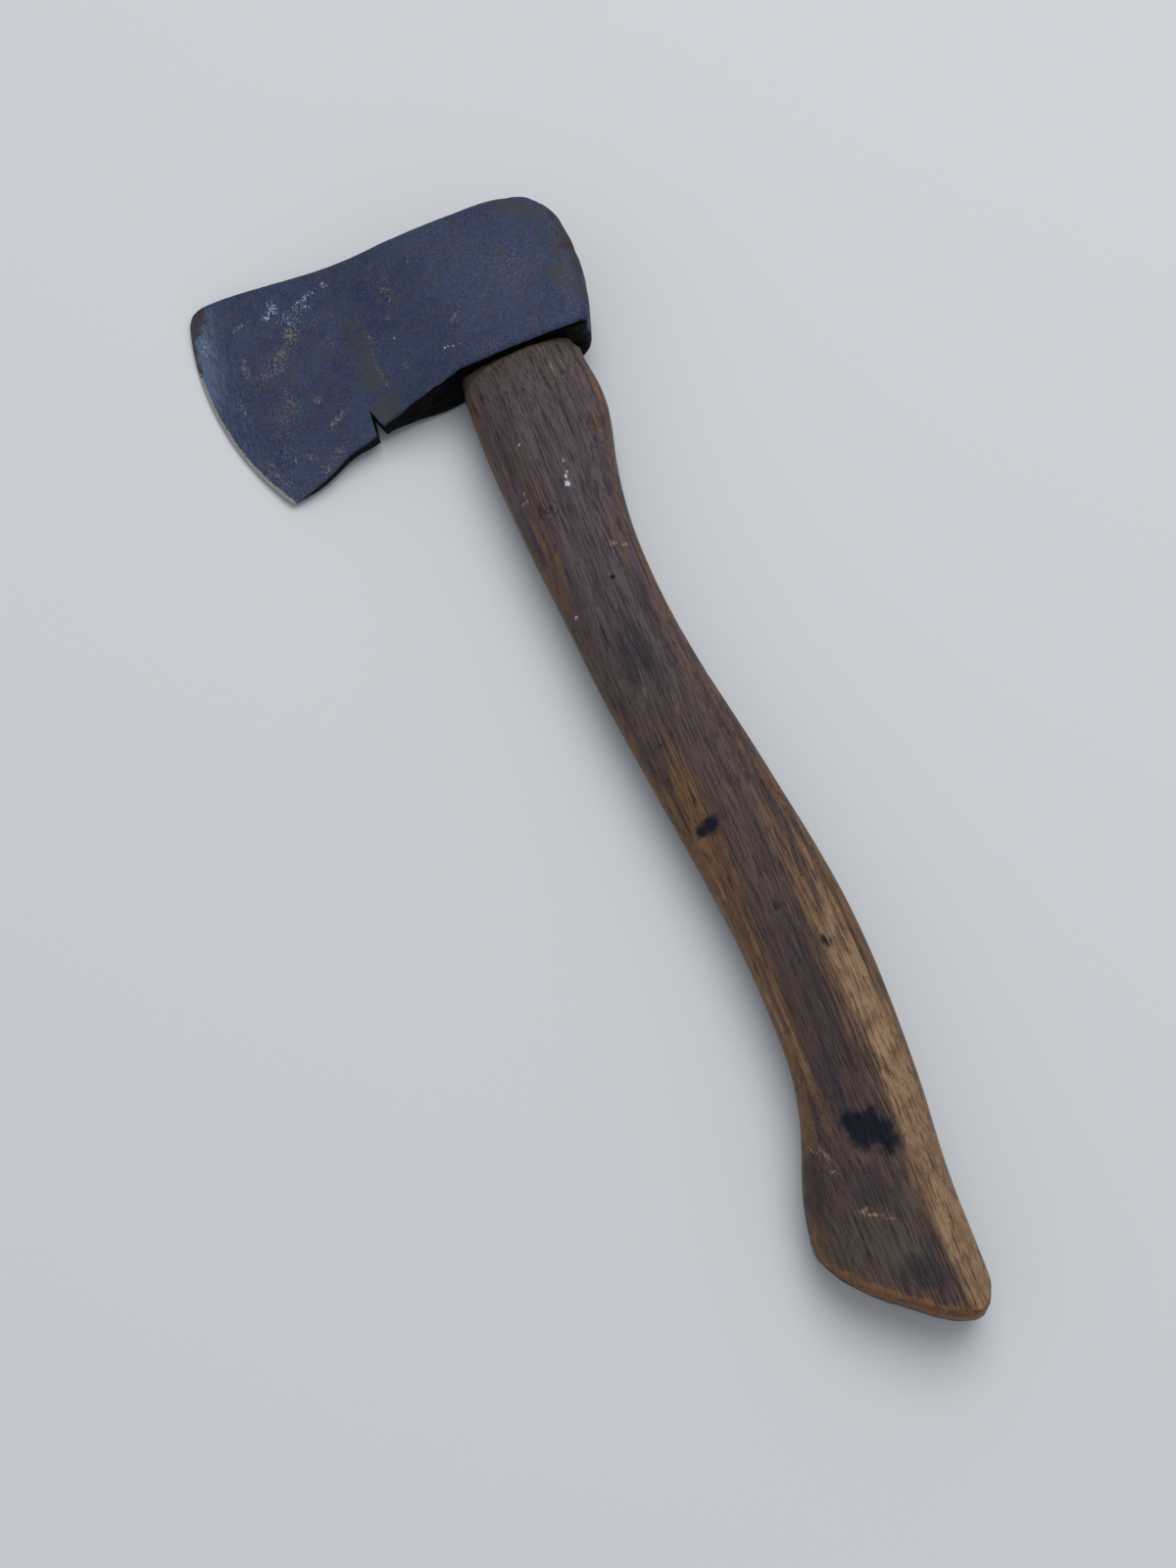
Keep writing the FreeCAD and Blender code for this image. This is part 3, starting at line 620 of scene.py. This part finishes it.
def buildHandle():
    angle = np.linspace(0, 2 * math.pi, handle["around"], endpoint=False)
    cosine, sine = np.cos(angle)[None], np.sin(angle)[None]
    across = signedPower(cosine, 2 / handle["power"])
    footEnd = throughPoints(handle["footEnd"])
    endY = np.full_like(across, -290.0)
    for _ in range(30):  # where each line along the handle meets the slanted end
        x = handleRing(endY, cosine, sine)[..., 0]
        endY = 0.5 * endY + 0.5 * footEnd(x)
    slope = (footEnd(x + 0.1) - footEnd(x - 0.1)) / 0.2
    lean = np.sqrt(1 + slope**2)
    radius = handle["footRound"]
    top, end = handle["shaftTop"], handle["shaftEnd"]
    shaft = handleRing(np.linspace(top, end, handle["shaftRings"])[:, None], cosine, sine)
    share = np.linspace(0, 1, 44)[1:, None]
    foot = handleRing(end + share * (endY + radius * lean - end), cosine, sine)
    bend = np.linspace(0, math.pi / 2, 10)[1:, None]
    rim = handleRing(endY + radius * (1 - np.sin(bend)) * lean, cosine, sine, radius * (1 - np.cos(bend)))
    closing = np.linspace(1, 0, 9)[1:, None]
    face = np.dstack([np.repeat(rim[-1:, :, k], 8, axis=0) for k in (0, 1, 2)])
    face[..., 2] *= closing
    # upwards: an uneven shoulder, a short step in, and the tongue that fills the eye
    neck = shaft[0]
    lipY = -0.9 - 3.4 * np.abs(across[0]) ** 3 - 0.8 * (across[0] < 0) * np.abs(across[0]) ** 2
    lipY += 0.22 * np.sin(7 * angle + 1) * np.sin(3 * angle) + 0.12 * np.sin(19 * angle)
    share = np.linspace(0, 1, 9)[1:, None]
    shoulder = np.stack([
        neck[:, 0] * (1 - 0.012 * share**2), top + share * (lipY - top), neck[:, 2] * (1 - 0.05 * share**2)],
        axis=-1)
    power = 2 / head["eyePower"]
    gap = handle["tongueGap"]
    tongueY = np.concatenate([[1.0, 2.5], np.linspace(4, handle["tongueTop"] - 0.6, 40)])[:, None]
    grow = tongueY / head["eyeTopY"]
    length = head["eyeHalfLength"] - gap + grow * head["eyeFlare"][0]
    width = head["eyeHalfWidth"] - gap + grow * head["eyeFlare"][1]
    ovalX = signedPower(cosine, power)
    ovalZ = signedPower(sine, power)
    tongue = np.stack([length * ovalX, tongueY + 0 * ovalX, width * ovalZ], axis=-1)
    step = shoulder[-1] * (1, 0, 1) * 0.35 + tongue[0] * (1, 0, 1) * 0.65
    step[:, 1] = lipY + 0.45
    curl = shoulder[-1] * (0.975, 1, 0.96) + (0, 0.35, 0)
    capInset = 0.6 * (1 - np.cos(np.linspace(0, math.pi / 2, 6)[1:, None]))
    capRise = 0.6 * np.sin(np.linspace(0, math.pi / 2, 6)[1:, None])
    cap = np.stack([(length[-1] - capInset) * ovalX, handle["tongueTop"] - 0.6 + capRise + 0 * ovalX,
                    (width[-1] - capInset) * ovalZ], axis=-1)
    lid = np.dstack([np.repeat(cap[-1:, :, k], 8, axis=0) for k in (0, 1, 2)])
    lid[..., 2] *= closing
    upward = np.vstack([shoulder, curl[None], step[None], tongue, cap, lid])
    rings = np.vstack([upward[::-1], shaft, foot, rim, face])
    piece = weldedPiece("handle_wood", [rings], closed=True)
    p = readPoints(piece)
    normal = readPoints(piece, "normal")
    x, y, z = p.T
    below = np.clip(-y, 8, 314)
    front, back = handleFront(below), handleBack(below)
    side = (x - (front + back) / 2) / ((back - front) / 2)
    outside = ease(-y, 3, 9)
    move = 0.16 * rumple(p * (1, 0.22, 1), 3, 24, 7, 26) + 0.035 * rumple(p * (1, 0.06, 1), 8, 60, 1.3, 3.2)
    rng = np.random.default_rng(12)
    dents = list(handle["dents"])
    dents += [(rng.uniform(-16, 24), rng.uniform(-295, -20), rng.uniform(0.5, 1.4), rng.uniform(0.6, 2.5),
               rng.uniform(0.06, 0.22)) for _ in range(90)]
    for dentX, dentY, wide, tall, deep in dents:
        flip = rng.choice((-1, 1)) if wide < 1.45 else 1
        move -= deep * np.exp(-((x - dentX) / wide) ** 2 - ((y - dentY) / tall) ** 2) * (z * flip > 0)
    nearEnd = y - np.interp(x, *np.array(handle["footEnd"]).T)
    chips = np.clip(rumple(p, 44, 40, 2.5, 9), 0, 1) * (1 - ease(nearEnd, 2, 5))
    move -= 0.35 * chips
    p = p + normal * (move * outside)[:, None]
    upperFace = z > 0
    edge = np.clip(np.abs(side), 0, 1)
    frontEdge = ease(-side, 0.62, 0.97)
    backEdge = ease(side, 0.6, 0.97)
    goldenWearAndHighlight = frontEdge * (0.55 + 0.45 * ease(-y, 110, 150))
    goldenWearAndHighlight = np.maximum(goldenWearAndHighlight, backEdge * (0.5 + 0.4 * ease(-y, 120, 190)))
    goldenWearAndHighlight = np.maximum(goldenWearAndHighlight, patches(x, y, handle["goldenWearAndHighlight"]))
    # near the foot end the golden band is partly a painted highlight along the rounded rim, besides edge
    # wear
    endDistance = distanceTo(np.array(handle["footEnd"], dtype=float), p[:, :2])
    goldenWearAndHighlight = np.maximum(goldenWearAndHighlight, 1 - ease(endDistance, 1.8, 3.2)) * (1 - ease(y, 0, 10))
    stain = patches(x, y, handle["stain"]) * upperFace
    dark = patches(x, y, handle["dark"])
    grimeAndPaintedShade = patches(x, y, handle["grimeAndPaintedShade"])
    red = patches(x, y, handle["red"])
    scratches = patches(x, y, handle["scratches"]) * upperFace
    paint = patches(x, y, handle["paint"]) * upperFace
    blue = patches(x, y, handle["blue"]) * upperFace
    lip = np.clip(ease(y, -5.5, -2.5) * (1 - ease(y, 0.5, 1.5)) * (1 - ease(edge, 0.99, 1.2)), 0, 1)
    lip = np.maximum(lip * ease(y - (-0.9 - 3.4 * edge**3), -1.2, -0.2), 0)
    tongueEnd = ease(y, handle["tongueTop"] - 1.2, handle["tongueTop"] - 0.5)
    dark = np.maximum(dark, tongueEnd)
    endGrain = np.maximum(0.4 * tongueEnd, 0.9 - 0.9 * ease(nearEnd, 0.3, 1.5))
    tan = patches(x, y, handle["tan"])
    finishPiece(piece, p, {
        "goldenWearAndHighlight": goldenWearAndHighlight, "tan": tan, "stain": stain, "dark": dark, "grimeAndPaintedShade": grimeAndPaintedShade, "red": red,
        "scratches": scratches, "paint": paint, "blue": blue, "lip": lip, "endGrain": endGrain}, 60)
    return piece


def shade(red, green, blue):  # a screen colour, 0 to 255, as the light it stands for
    light = [((c / 255 + 0.055) / 1.055) ** 2.4 if c > 10 else c / 255 / 12.92 for c in (red, green, blue)]
    return tuple(light) + (1,)


def shades(tones):
    return {name: shade(*tone) for name, tone in tones.items()}


class Finish:
    # a material and short ways to add its nodes
    def __init__(self, name):
        self.material = bpy.data.materials.new(name)
        self.material.use_nodes = True
        self.tree = self.material.node_tree
        self.tree.nodes.clear()

    def add(self, kind, inputs, **settings):
        node = self.tree.nodes.new(kind)
        for key, value in settings.items():
            setattr(node, key, value)
        for key, value in inputs.items():
            if isinstance(value, bpy.types.NodeSocket):
                self.tree.links.new(value, node.inputs[key])
            else:
                node.inputs[key].default_value = value
        return node

    def mark(self, name):
        return self.add("ShaderNodeAttribute", {}, attribute_name=name).outputs["Fac"]

    def place(self, stretch=(1, 1, 1), turn=(0, 0, 0)):
        spot = self.add("ShaderNodeAttribute", {}, attribute_name="place").outputs["Vector"]
        return self.add("ShaderNodeMapping", {"Vector": spot, "Scale": stretch, "Rotation": turn}).outputs[0]

    def cloud(self, where, scale, detail, rough, warp=0.0):
        inputs = {"Vector": where, "Scale": scale, "Detail": detail, "Roughness": rough, "Distortion": warp}
        return self.add("ShaderNodeTexNoise", inputs).outputs["Fac"]

    def range(self, value, low, high, start=0.0, stop=1.0):
        inputs = {"Value": value, "From Min": low, "From Max": high, "To Min": start, "To Max": stop}
        return self.add("ShaderNodeMapRange", inputs, interpolation_type="SMOOTHSTEP").outputs[0]

    def sum(self, a, b, how="ADD", clamp=False):
        return self.add("ShaderNodeMath", {0: a, 1: b}, operation=how, use_clamp=clamp).outputs[0]

    def mix(self, share, under, over):
        node = self.add("ShaderNodeMix", {0: share, 6: under, 7: over}, data_type="RGBA")
        return node.outputs[2]

    def broken(self, markName, grain, low, high, strength, faint=0.03, clear=0.2):
        # a mark broken up by a fine cloud: the grain decides where a half-strong mark shows
        share = self.range(self.sum(self.mark(markName), grain), low, high, 0.0, strength)
        return self.sum(share, self.range(self.mark(markName), faint, clear), "MULTIPLY")

    def grain(self, cloud):
        return self.range(cloud, 0.25, 0.75, -0.45, 0.45)

    def cover(self, under, markName, cloud, over, low, high, strength):
        return self.mix(self.broken(markName, self.grain(cloud), low, high, strength), under, over)

    def close(self, colour, roughness, height, metal, gloss, depth, strength, fine):
        # two bumps, the second finer and half as deep, and then the shader
        bump = self.add("ShaderNodeBump", {"Height": height, "Distance": depth, "Strength": strength})
        inputs = {"Height": fine, "Distance": depth * 0.5, "Strength": strength, "Normal": bump.outputs[0]}
        bump = self.add("ShaderNodeBump", inputs)
        shader = self.add("ShaderNodeBsdfPrincipled", {
            "Base Color": colour, "Roughness": roughness, "Metallic": metal, "Specular IOR Level": gloss,
            "Normal": bump.outputs[0]})
        self.add("ShaderNodeOutputMaterial", {"Surface": shader.outputs[0]})


steelTones = {
    "deep": (31, 43, 76), "light": (41, 54, 84), "mottle": (52, 58, 68), "darkMottle": (27, 35, 60),
    "streak": (80, 86, 100), "crossStreak": (80, 84, 94), "arc": (88, 92, 98), "speckle": (70, 77, 94),
    "darkSpeckle": (24, 31, 56), "dust": (96, 99, 108), "pit": (20, 26, 48), "haze": (78, 77, 82),
    "brown": (62, 60, 58), "bare": (94, 108, 132), "rustHaze": (82, 80, 84), "rust": (138, 122, 110),
    # the last tone, near black, is painted shade for the head's underside
    "pale": (172, 188, 208), "oldRust": (60, 44, 46), "worn": (150, 146, 138), "grimeAndPaintedShade": (6, 6, 7),
}


def patinatedSteel():
    f = Finish("patinated_steel")
    tone = shades(steelTones)
    flat = f.place()
    broad = f.cloud(flat, 0.55, 5, 0.6, 0.4)
    mottle = f.cloud(flat, 3.2, 6, 0.65)
    speckle = f.cloud(flat, 15.0, 5, 0.7)
    dust = f.cloud(flat, 30.0, 4, 0.75)
    colour = f.mix(f.range(broad, 0.38, 0.62), tone["deep"], tone["light"])
    colour = f.mix(f.range(mottle, 0.46, 0.66, 0, 0.65), colour, tone["mottle"])
    colour = f.mix(f.range(mottle, 0.48, 0.3, 0, 0.55), colour, tone["darkMottle"])
    # fine scratches two ways across the head
    streaks = f.cloud(f.place((9, 0.7, 1), (0, 0, 0.5)), 5.0, 3, 0.6)
    cross = f.cloud(f.place((1.2, 12, 1), (0, 0, 0.35)), 3.5, 3, 0.6)
    colour = f.mix(f.range(streaks, 0.53, 0.68, 0, 0.4), colour, tone["streak"])
    colour = f.mix(f.range(cross, 0.55, 0.68, 0, 0.42), colour, tone["crossStreak"])
    # faint arcs about the middle of the eye, where the mottle lets them show
    eyeMiddle = (-0.36, 2.34, 1.2)
    away = f.add("ShaderNodeVectorMath", {0: flat, 1: eyeMiddle}, operation="DISTANCE").outputs["Value"]
    circles = f.add("ShaderNodeTexNoise", {"W": away, "Scale": 26.0, "Detail": 3.0}, noise_dimensions="1D")
    circles = f.sum(f.range(circles.outputs["Fac"], 0.55, 0.66, 0, 0.5), f.range(away, 2.2, 1.4), "MULTIPLY")
    circles = f.sum(circles, f.range(mottle, 0.42, 0.6), "MULTIPLY")
    colour = f.mix(circles, colour, tone["arc"])
    colour = f.mix(f.range(speckle, 0.5, 0.66, 0, 0.5), colour, tone["speckle"])
    colour = f.mix(f.range(speckle, 0.47, 0.34, 0, 0.45), colour, tone["darkSpeckle"])
    colour = f.mix(f.range(dust, 0.55, 0.7, 0, 0.5), colour, tone["dust"])
    colour = f.mix(f.range(dust, 0.44, 0.3, 0, 0.5), colour, tone["pit"])
    haze = f.range(f.cloud(f.place((1, 1, 1), (0, 0, 0.6)), 1.3, 6, 0.7, 0.3), 0.5, 0.66, 0, 0.45)
    colour = f.mix(f.sum(haze, f.range(speckle, 0.42, 0.6), "MULTIPLY"), colour, tone["haze"])
    colour = f.cover(colour, "brown", mottle, tone["brown"], 0.1, 1.0, 0.75)
    colour = f.cover(colour, "bare", streaks, tone["bare"], 0.15, 1.2, 0.8)
    # rust is a haze with crumbs of brighter rust in it, and the pale flecks are crumbs alone
    rust = f.broken("rust", f.range(speckle, 0.36, 0.64, -0.4, 0.4), 0.2, 0.9, 0.6)
    colour = f.mix(rust, colour, tone["rustHaze"])
    crumbs = f.sum(f.range(speckle, 0.36, 0.64, -0.62, 0.62), f.range(dust, 0.35, 0.65, -0.25, 0.25))
    colour = f.mix(f.broken("rust", crumbs, 0.82, 1.12, 0.85, 0.05, 0.3), colour, tone["rust"])
    colour = f.mix(f.broken("pale", crumbs, 0.92, 1.14, 0.95, 0.05, 0.3), colour, tone["pale"])
    patch = f.grain(mottle)
    oldRust = f.broken("oldRust", patch, 0.3, 0.8, 0.85)
    colour = f.mix(oldRust, colour, tone["oldRust"])
    colour = f.cover(colour, "worn", speckle, tone["worn"], 0.35, 0.95, 0.85)
    # painted shade: the head's underside goes near black here, and its gloss drops below, so it reads as the
    # shadow under the head
    grimeAndPaintedShade = f.broken("grimeAndPaintedShade", patch, 0.1, 0.7, 1.0)
    colour = f.mix(grimeAndPaintedShade, colour, tone["grimeAndPaintedShade"])
    roughness = f.sum(f.range(mottle, 0.3, 0.7, 0.46, 0.66), f.sum(rust, 0.2, "MULTIPLY"), clamp=True)
    roughness = f.sum(roughness, f.sum(oldRust, 0.2, "MULTIPLY"), clamp=True)
    height = f.sum(f.sum(mottle, 0.8, "MULTIPLY"), f.sum(speckle, 0.5, "MULTIPLY"))
    gloss = f.range(grimeAndPaintedShade, 0.1, 0.8, 0.3, 0.02)
    f.close(colour, roughness, height, 0.25, gloss, 0.00022, 0.5, f.range(dust, 0.3, 0.5))
    return f.material


woodTones = {
    "upper": (77, 64, 72), "lower": (74, 52, 46), "lightStreak": (88, 71, 64), "darkStreak": (39, 29, 33),
    "lateWood": (42, 31, 32), "red": (66, 38, 33), "goldenWearAndHighlight": (112, 78, 45), "tan": (146, 116, 86),
    "deepGold": (86, 54, 27), "grimeAndPaintedShade": (70, 62, 50), "dark": (29, 25, 36), "knot": (34, 24, 26),
    "pore": (22, 15, 15), "paleFibre": (104, 83, 68), "stain": (15, 19, 33), "blue": (40, 48, 70),
    "scratch": (148, 124, 100), "paint": (190, 194, 200), "lip": (70, 64, 46),
    "endWood": (120, 72, 36), "endRing": (84, 48, 25), "endPore": (46, 29, 20),
}


def oldWood():
    f = Finish("old_wood")
    tone = shades(woodTones)
    flat = f.place()
    # growth rings: the distance from a pith far behind and below the back edge, stretched along the grain
    wander = f.cloud(f.place((0.5, 0.06, 0.5)), 1.0, 2, 0.5)
    pithAt = (4.6, 0.0, -5.4)
    pith = f.add("ShaderNodeVectorMath", {0: f.place((1, 0.035, 1)), 1: pithAt}, operation="SUBTRACT")
    away = f.add("ShaderNodeVectorMath", {0: pith.outputs[0]}, operation="LENGTH").outputs["Value"]
    ringAt = f.sum(f.sum(away, f.sum(wander, 1.3, "MULTIPLY")), 2.3, "MULTIPLY")
    late = f.range(f.sum(ringAt, 1.0, "FRACT"), 0.35, 1.0)
    streak = f.cloud(f.place((1, 0.045, 1)), 6.0, 5, 0.62, 0.15)
    fibre = f.cloud(f.place((1, 0.03, 1)), 30.0, 4, 0.7, 0.1)
    pores = f.cloud(f.place((1, 0.035, 1)), 34.0, 3, 0.6, 0.2)
    longPores = f.cloud(f.place((1, 0.026, 1)), 19.0, 3, 0.5, 0.2)
    mottle = f.cloud(flat, 2.4, 5, 0.6)
    speckle = f.cloud(flat, 12.0, 4, 0.7)
    tall = f.add("ShaderNodeSeparateXYZ", {0: flat}).outputs[1]
    colour = f.mix(f.range(tall, -6.5, -16.0), tone["upper"], tone["lower"])
    colour = f.mix(f.range(streak, 0.42, 0.66, 0, 0.75), colour, tone["lightStreak"])
    colour = f.mix(f.range(streak, 0.5, 0.32, 0, 0.7), colour, tone["darkStreak"])
    colour = f.mix(f.sum(late, 0.4, "MULTIPLY"), colour, tone["lateWood"])
    colour = f.mix(f.range(f.mark("red"), 0.1, 0.9, 0, 0.55), colour, tone["red"])
    # golden wear on the edges, which at the foot end is partly a painted highlight on the rim
    goldenWearAndHighlight = f.broken("goldenWearAndHighlight", f.grain(streak), 0.2, 0.9, 0.88)
    colour = f.mix(goldenWearAndHighlight, colour, tone["goldenWearAndHighlight"])
    # tan wear that also stands for a painted sheen along the back edge
    tanField = f.sum(f.mark("tan"), f.range(streak, 0.3, 0.7, -0.3, 0.3))
    colour = f.mix(f.range(tanField, 0.25, 1.0, 0, 0.92), colour, tone["tan"])
    deepGold = f.sum(goldenWearAndHighlight, f.range(mottle, 0.42, 0.65, 0, 0.5), "MULTIPLY")
    colour = f.mix(deepGold, colour, tone["deepGold"])
    # grime patches, the band just below the head partly a painted shade
    colour = f.cover(colour, "grimeAndPaintedShade", mottle, tone["grimeAndPaintedShade"], 0.2, 0.9, 0.75)
    colour = f.cover(colour, "dark", streak, tone["dark"], 0.3, 0.95, 0.75)
    # a knot: ripples of the distance from its middle, fading outwards
    knotPlace, knotMiddle = f.place((0.8, 1, 1)), (-0.63, -5.18, 1.0)
    knotAway = f.add("ShaderNodeVectorMath", {0: knotPlace, 1: knotMiddle}, operation="DISTANCE")
    knotAway = knotAway.outputs["Value"]
    knotRing = f.sum(f.sum(knotAway, f.sum(mottle, 0.3, "MULTIPLY")), 34.0, "MULTIPLY")
    knotRing = f.range(f.sum(knotRing, 0.0, "SINE"), 0.1, 0.9, 0, 0.85)
    knotRing = f.sum(knotRing, f.range(knotAway, 0.38, 0.2), "MULTIPLY")
    colour = f.mix(knotRing, colour, tone["knot"])
    poreLine = f.range(pores, 0.46, 0.37, 0, 0.8)
    poreLine = f.sum(poreLine, f.range(longPores, 0.42, 0.35, 0, 0.95), "MAXIMUM")
    poreLine = f.sum(poreLine, f.range(mottle, 0.3, 0.6, 0.5, 1.0), "MULTIPLY")
    colour = f.mix(poreLine, colour, tone["pore"])
    colour = f.mix(f.range(fibre, 0.54, 0.7, 0, 0.35), colour, tone["paleFibre"])
    rag = f.sum(f.range(mottle, 0.3, 0.7, -0.2, 0.2), f.range(streak, 0.3, 0.7, -0.16, 0.16))
    soaked = f.broken("stain", rag, 0.12, 0.92, 0.97)
    colour = f.mix(soaked, colour, tone["stain"])
    colour = f.cover(colour, "blue", mottle, tone["blue"], 0.3, 0.9, 0.55)
    scratched = f.broken("scratches", f.grain(fibre), 0.4, 0.8, 0.75)
    colour = f.mix(scratched, colour, tone["scratch"])
    colour = f.cover(colour, "paint", speckle, tone["paint"], 0.5, 0.7, 1.0)
    colour = f.cover(colour, "lip", speckle, tone["lip"], 0.3, 0.8, 0.8)
    endRing = f.mix(late, tone["endWood"], tone["endRing"])
    endRing = f.mix(f.range(speckle, 0.5, 0.62, 0, 0.6), endRing, tone["endPore"])
    colour = f.mix(f.sum(f.mark("endGrain"), 0.8, "MULTIPLY"), colour, endRing)
    roughness = f.range(streak, 0.3, 0.7, 0.5, 0.64)
    roughness = f.sum(roughness, f.sum(goldenWearAndHighlight, -0.08, "MULTIPLY"), clamp=True)
    height = f.sum(f.sum(streak, 0.5, "MULTIPLY"), f.sum(poreLine, -1.2, "MULTIPLY"))
    height = f.sum(height, f.sum(scratched, -0.6, "MULTIPLY"))
    gloss = f.range(soaked, 0.1, 0.9, 0.28, 0.08)
    f.close(colour, roughness, height, 0.0, gloss, 0.0003, 0.6, fibre)
    return f.material


wedgeTones = {
    "greyWood": (70, 54, 38), "paleWood": (110, 90, 64), "woodSpeck": (58, 46, 38),
    "steel": (58, 58, 64), "rust": (98, 66, 48), "freshRust": (132, 92, 62),
}


def wedgeWood():
    # end grain of a pale hardwood, gone grey, on Object coordinates
    f = Finish("wedge_wood")
    tone = shades(wedgeTones)
    spot = f.add("ShaderNodeTexCoord", {}).outputs["Object"]
    along = f.add("ShaderNodeMapping", {"Vector": spot, "Scale": (1, 0.1, 1)}).outputs[0]
    bands = f.cloud(along, 420.0, 4, 0.6)
    specks = f.cloud(spot, 1500.0, 3, 0.6)
    colour = f.mix(f.range(bands, 0.35, 0.65), tone["greyWood"], tone["paleWood"])
    colour = f.mix(f.range(specks, 0.52, 0.66, 0, 0.7), colour, tone["woodSpeck"])
    f.close(colour, f.range(bands, 0.3, 0.7, 0.6, 0.8), bands, 0.0, 0.3, 0.0003, 0.6, specks)
    return f.material


def rustySteel():
    f = Finish("rusty_wedge_steel")
    tone = shades(wedgeTones)
    spot = f.add("ShaderNodeTexCoord", {}).outputs["Object"]
    scale = f.cloud(spot, 500.0, 5, 0.65)
    grit = f.cloud(spot, 2400.0, 3, 0.6)
    colour = f.mix(f.range(scale, 0.4, 0.6), tone["steel"], tone["rust"])
    colour = f.mix(f.range(grit, 0.55, 0.66, 0, 0.6), colour, tone["freshRust"])
    f.close(colour, f.range(scale, 0.3, 0.7, 0.5, 0.85), scale, 0.4, 0.4, 0.0002, 0.7, grit)
    return f.material


def floorFinish():
    f = Finish("studio_floor")
    shader = f.add("ShaderNodeBsdfPrincipled", {"Base Color": studio["floorColour"], "Roughness": 0.9})
    f.add("ShaderNodeOutputMaterial", {"Surface": shader.outputs[0]})
    return f.material


headPiece = buildHead()
headPiece.data.materials.append(patinatedSteel())
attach(headPiece, "root")
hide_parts("head")
print("head done")

handlePiece = buildHandle()
handlePiece.data.materials.append(oldWood())
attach(handlePiece, "root")
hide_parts("handle")
print("handle done")


def refinish(nodeName, material):
    wedge = frame["nodes"][nodeName]
    wedge.data.materials.clear()
    wedge.data.materials.append(material)


wedgeSteel = rustySteel()
refinish("wooden_wedge", wedgeWood())
refinish("steel_wedge_front", wedgeSteel)
refinish("steel_wedge_rear", wedgeSteel)
print("wedges done")

studio = {
    "floorSize": 6.0,
    "floorColour": (0.6, 0.61, 0.62, 1),
    "worldColour": (0.86, 0.92, 1.0, 1),
    "worldStrength": 0.56,
    "lightSize": 1.6,
    "lightPower": 19.0,
    "lightAt": (0.5, 0.5, 1.6),
    "lightTilt": (-17, 17, 0),
    "cameraFromBit": (-0.02515, -0.3874, 0.7134),
    "cameraTilt": 19.0,
    "cameraTurn": -20.98,
    "lens": 60.75,
}
half = studio["floorSize"] / 2
floorMesh = bpy.data.meshes.new("floor")
floorCorners = [(-half, -half, 0), (half, -half, 0), (half, half, 0), (-half, half, 0)]
floorMesh.from_pydata(floorCorners, [], [(0, 1, 2, 3)])
floor = bpy.data.objects.new("floor", floorMesh)
bpy.context.scene.collection.objects.link(floor)
floor.data.materials.append(floorFinish())

world = bpy.data.worlds.new("soft_sky")
bpy.context.scene.world = world
world.use_nodes = True
world.node_tree.nodes["Background"].inputs["Color"].default_value = studio["worldColour"]
world.node_tree.nodes["Background"].inputs["Strength"].default_value = studio["worldStrength"]

lamp = bpy.data.lights.new("soft_box", "AREA")
lamp.shape = "DISK"
lamp.size = studio["lightSize"]
lamp.energy = studio["lightPower"]
lampObject = bpy.data.objects.new("soft_box", lamp)
lampObject.location = studio["lightAt"]
lampObject.rotation_euler = tuple(math.radians(angle) for angle in studio["lightTilt"])
bpy.context.scene.collection.objects.link(lampObject)

camera = bpy.data.cameras.new("camera")
camera.lens = studio["lens"]
camera.sensor_width = 36
camera.clip_start = 0.01
cameraObject = bpy.data.objects.new("camera", camera)
cameraObject.location = bladeAt + np.array(studio["cameraFromBit"])
cameraObject.rotation_euler = (math.radians(studio["cameraTilt"]), 0, math.radians(studio["cameraTurn"]))
bpy.context.scene.collection.objects.link(cameraObject)
bpy.context.scene.camera = cameraObject
bpy.context.scene.view_settings.view_transform = "Standard"
print("studio done")
